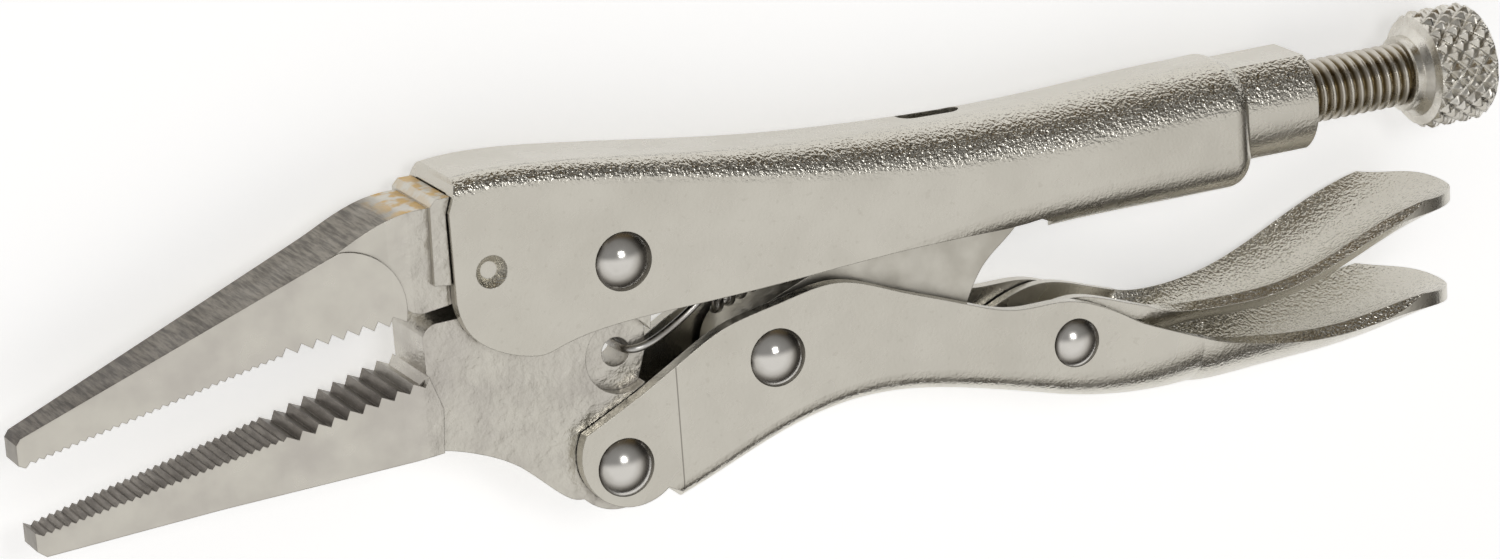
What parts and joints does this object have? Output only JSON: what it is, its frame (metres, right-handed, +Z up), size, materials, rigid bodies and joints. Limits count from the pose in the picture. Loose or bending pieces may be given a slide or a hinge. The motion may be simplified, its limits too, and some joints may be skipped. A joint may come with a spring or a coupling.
{
  "type": "locking pliers",
  "caption": "Long-nose locking pliers: serrated tapered jaws, sheet-steel handles, toggle link, release lever and a knurled adjusting screw, locked shut on a small gap.",
  "frame": {"origin": "centre of the bounding box's lower face: the tool lies flat on its side", "axes": "+X from the jaw tips to the knurled knob, +Y from the lower handle to the upper handle, +Z up across the thickness, along every rivet"},
  "size_m": [0.1468, 0.0343, 0.014],
  "materials": {
    "plated_sheet": "satin nickel plate over pressed sheet steel",
    "forged_steel": "satin nickel plate over forged steel, ground faces on the noses",
    "rivet_steel": "polished nickel plate",
    "screw_steel": "oiled plated thread",
    "knob_steel": "nickel plate over a diamond knurl",
    "spring_wire": "bright drawn wire"
  },
  "bodies": {
    "frame": {"upper_handle": "plated_sheet", "fixed_jaw": "forged_steel", "jaw_pivot_rivet": "rivet_steel", "tension_spring": "spring_wire"},
    "jaw": {"movable_jaw": "forged_steel"},
    "grip": {"lower_handle": "plated_sheet", "handle_pivot_rivet": "rivet_steel", "link_pivot_rivet": "rivet_steel", "lever_pivot_rivet": "rivet_steel"},
    "link": {"toggle_link": "forged_steel"},
    "lever": {"release_lever": "plated_sheet"},
    "screw": {"adjusting_screw": "screw_steel"},
    "knob": {"knurled_knob": "knob_steel"}
  },
  "joints": [
    {"name": "jaw_pivot", "type": "hinge", "parent": "frame", "child": "jaw", "pos_m": [-0.0176, 0.00679, 0.007], "axis": [0, 0, 1], "range_deg": [0, 20], "deforming": ["tension_spring"]},
    {"name": "handle_pivot", "type": "hinge", "parent": "jaw", "child": "grip", "pos_m": [-0.0189, -0.0121, 0.007], "axis": [0, 0, 1], "range_deg": [-53.3, 0]},
    {"name": "link_pivot", "type": "hinge", "parent": "frame", "child": "link", "pos_m": [0.0247, 0.0077, 0.007], "axis": [0, 0, 1], "range_deg": [0, 23.5]},
    {"name": "release_pivot", "type": "hinge", "parent": "grip", "child": "lever", "pos_m": [0.02695, -0.0096, 0.007], "axis": [0, 0, 1], "range_deg": [-8, 0]},
    {"name": "screw_travel", "type": "slide", "parent": "frame", "child": "screw", "axis": [1, 0, 0], "range_m": [0, 0.01]},
    {"name": "knob_turn", "type": "hinge", "parent": "screw", "child": "knob", "pos_m": [0.0694, 0.0082, 0.007], "axis": [1, 0, 0], "range_deg": [0, 3600]}
  ],
  "couplings": [
    {"joint": "handle_pivot", "follows": "jaw_pivot", "ratio": -2.66},
    {"joint": "link_pivot", "follows": "jaw_pivot", "ratio": 1.17},
    {"joint": "knob_turn", "follows": "screw_travel", "rad_per_m": 6283.2}
  ]
}
